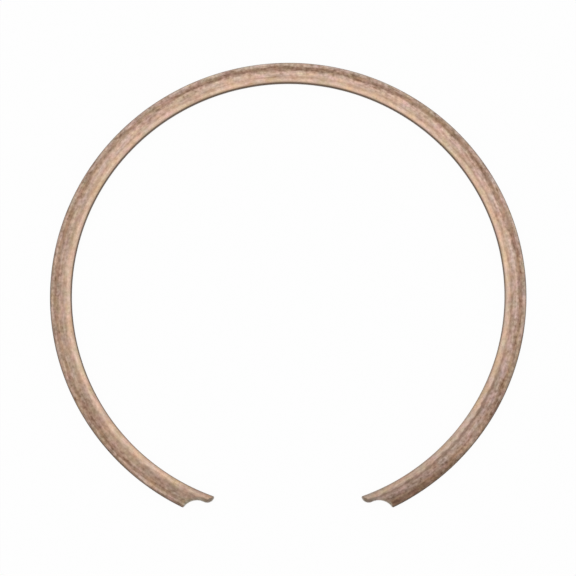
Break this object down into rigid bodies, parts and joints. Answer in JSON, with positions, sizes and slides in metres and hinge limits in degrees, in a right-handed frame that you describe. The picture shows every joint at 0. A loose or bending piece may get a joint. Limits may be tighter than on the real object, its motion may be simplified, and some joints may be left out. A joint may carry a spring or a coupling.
{
  "type": "circlip retaining ring",
  "caption": "Open retaining ring of flat spring-steel wire for a groove in a bore, with a hooked nose at each end of its gap for a tool.",
  "frame": {"origin": "centre of the ring, in the middle of its thickness", "axes": "+Z along the ring's axis; -Y through the middle of the gap; the ring lies flat in the XY plane"},
  "size_m": [0.106, 0.1008, 0.002],
  "materials": {
    "spring_steel": "oil-tempered spring steel with a brown oxide skin, drawn lengthwise, satin"
  },
  "bodies": {
    "root": {"retaining_ring": "spring_steel"}
  },
  "joints": []
}
